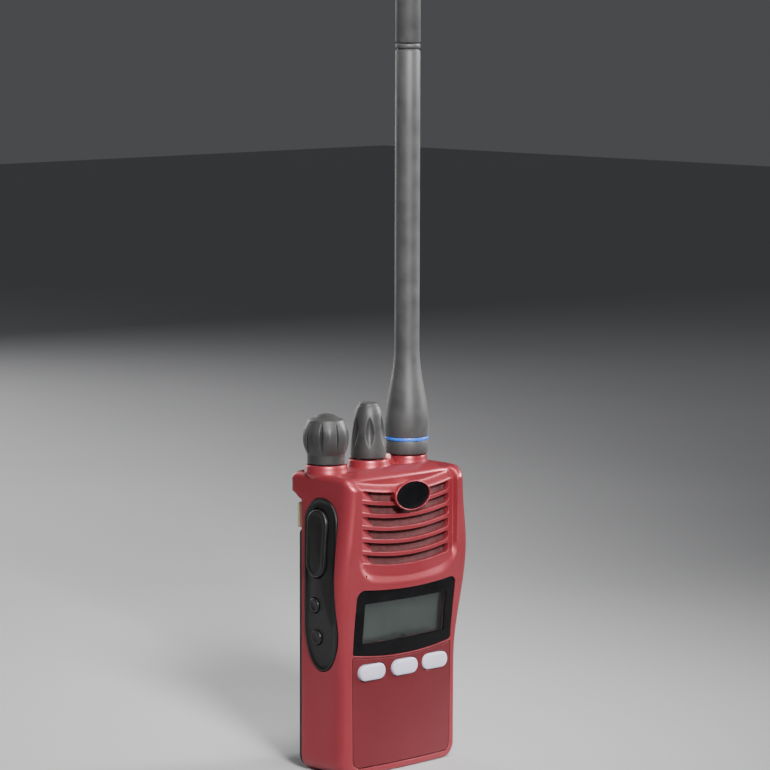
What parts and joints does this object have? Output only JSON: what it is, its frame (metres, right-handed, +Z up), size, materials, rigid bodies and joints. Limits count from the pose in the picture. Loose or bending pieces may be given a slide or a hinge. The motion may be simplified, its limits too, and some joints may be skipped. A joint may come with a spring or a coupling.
{
  "type": "portable radio",
  "caption": "Compact handheld two-way radio with a whip antenna, rotary controls, side talk button, display, oval keys and a clip-on battery.",
  "frame": {"origin": "centre of the flat base, in the middle of the body's width", "axes": "+X to the radio's right as seen from the front, +Y to its back, +Z up along the antenna"},
  "size_m": [0.0641, 0.0331, 0.29],
  "materials": {
    "red_paint": "satin metallic-flake red paint on moulded plastic",
    "red_panel": "satin metallic-flake red paint, slightly darker",
    "black_rubber": "fine matte elastomer",
    "black_plastic": "fine spark-eroded texture",
    "gloss_black": "polished black",
    "clear_lens": "smoked clear lens with a black printed border",
    "lcd_glass": "unlit grey-green liquid crystal panel",
    "key_plastic": "pale lavender-white keycap",
    "blue_plastic": "bright blue band",
    "tan_plastic": "tan moulded plastic",
    "led_plastic": "diffuse light pipe",
    "die_cast": "as-cast, lightly blasted",
    "steel": "plated",
    "brass": "machined",
    "gold": "gold flash",
    "board": "green solder mask",
    "cloth": "acoustic cloth",
    "paper_cone": "pressed paper",
    "cell_wrap": "wrapped prismatic cell"
  },
  "bodies": {
    "case": {"front_housing": "red_paint", "lower_panel": "red_panel", "badge": "gloss_black", "display_lens": "clear_lens", "lcd_panel": "lcd_glass", "lcd_holder": "black_plastic", "grille_cloth": "cloth", "speaker_frame": "steel", "speaker_cone": "paper_cone", "speaker_magnet": "die_cast", "microphone": "steel", "main_board": "board", "shield_can": "steel", "key_board": "board", "key_mat": "black_rubber", "side_pad": "black_rubber", "side_flex": "board", "volume_pot": "die_cast", "volume_nut": "brass", "channel_switch": "die_cast", "channel_nut": "brass", "antenna_socket": "brass", "led_lens": "led_plastic", "accessory_jacks": "black_plastic", "main_seal": "black_rubber", "rear_chassis": "die_cast", "latch_pin": "steel", "chassis_contacts": "black_plastic", "case_screw_1": "steel", "case_screw_2": "steel", "case_screw_3": "steel", "case_screw_4": "steel"},
    "volume_control": {"volume_knob": "black_rubber", "volume_shaft": "steel"},
    "channel_control": {"channel_knob": "black_rubber", "channel_shaft": "steel"},
    "antenna": {"antenna_whip": "black_rubber", "antenna_ring": "blue_plastic", "antenna_tip": "black_rubber", "antenna_core": "steel", "antenna_stud": "brass"},
    "ptt": {"ptt_button": "black_rubber"},
    "side_button_upper": {"side_key_upper": "black_rubber"},
    "side_button_lower": {"side_key_lower": "black_rubber"},
    "front_key_left": {"key_left": "key_plastic"},
    "front_key_middle": {"key_middle": "key_plastic"},
    "front_key_right": {"key_right": "key_plastic"},
    "jack_flap": {"jack_cover": "black_rubber"},
    "latch": {"battery_latch": "tan_plastic"},
    "battery": {"battery_tray": "black_plastic", "battery_cover": "black_plastic", "cell_left": "cell_wrap", "cell_right": "cell_wrap", "battery_contact_plus": "gold", "battery_contact_minus": "gold"}
  },
  "joints": [
    {"name": "volume_turn", "type": "hinge", "parent": "case", "child": "volume_control", "pos_m": [-0.0217, 0.002, 0.1185], "axis": [0, 0, -1], "range_deg": [0, 280]},
    {"name": "channel_turn", "type": "hinge", "parent": "case", "child": "channel_control", "pos_m": [-0.0008, 0.002, 0.1185], "axis": [0, 0, -1], "range_deg": [0, 337.5]},
    {"name": "antenna_unscrew", "type": "hinge", "parent": "case", "child": "antenna", "pos_m": [0.0185, 0.002, 0.112], "axis": [0, 0, 1], "range_deg": [0, 1080]},
    {"name": "ptt_press", "type": "slide", "parent": "case", "child": "ptt", "axis": [1, 0, 0], "range_m": [0, 0.0012], "stiffness_N_per_m": 1500},
    {"name": "side_upper_press", "type": "slide", "parent": "case", "child": "side_button_upper", "axis": [1, 0, 0], "range_m": [0, 0.0007], "stiffness_N_per_m": 2000},
    {"name": "side_lower_press", "type": "slide", "parent": "case", "child": "side_button_lower", "axis": [1, 0, 0], "range_m": [0, 0.0007], "stiffness_N_per_m": 2000},
    {"name": "key_left_press", "type": "slide", "parent": "case", "child": "front_key_left", "axis": [0, 1, 0], "range_m": [0, 0.0007], "stiffness_N_per_m": 2000},
    {"name": "key_middle_press", "type": "slide", "parent": "case", "child": "front_key_middle", "axis": [0, 1, 0], "range_m": [0, 0.0007], "stiffness_N_per_m": 2000},
    {"name": "key_right_press", "type": "slide", "parent": "case", "child": "front_key_right", "axis": [0, 1, 0], "range_m": [0, 0.0007], "stiffness_N_per_m": 2000},
    {"name": "jack_flap_swing", "type": "hinge", "parent": "case", "child": "jack_flap", "pos_m": [0.0308, -0.0042, 0.0712], "axis": [0, 0, 1], "range_deg": [0, 110]},
    {"name": "latch_swing", "type": "hinge", "parent": "case", "child": "latch", "pos_m": [0, 0.0094, 0.0926], "axis": [1, 0, 0], "range_deg": [0, 12], "stiffness_Nm_per_rad": 0.06},
    {"name": "battery_release", "type": "slide", "parent": "case", "child": "battery", "axis": [0, 1, 0], "range_m": [0, 0.03]}
  ]
}
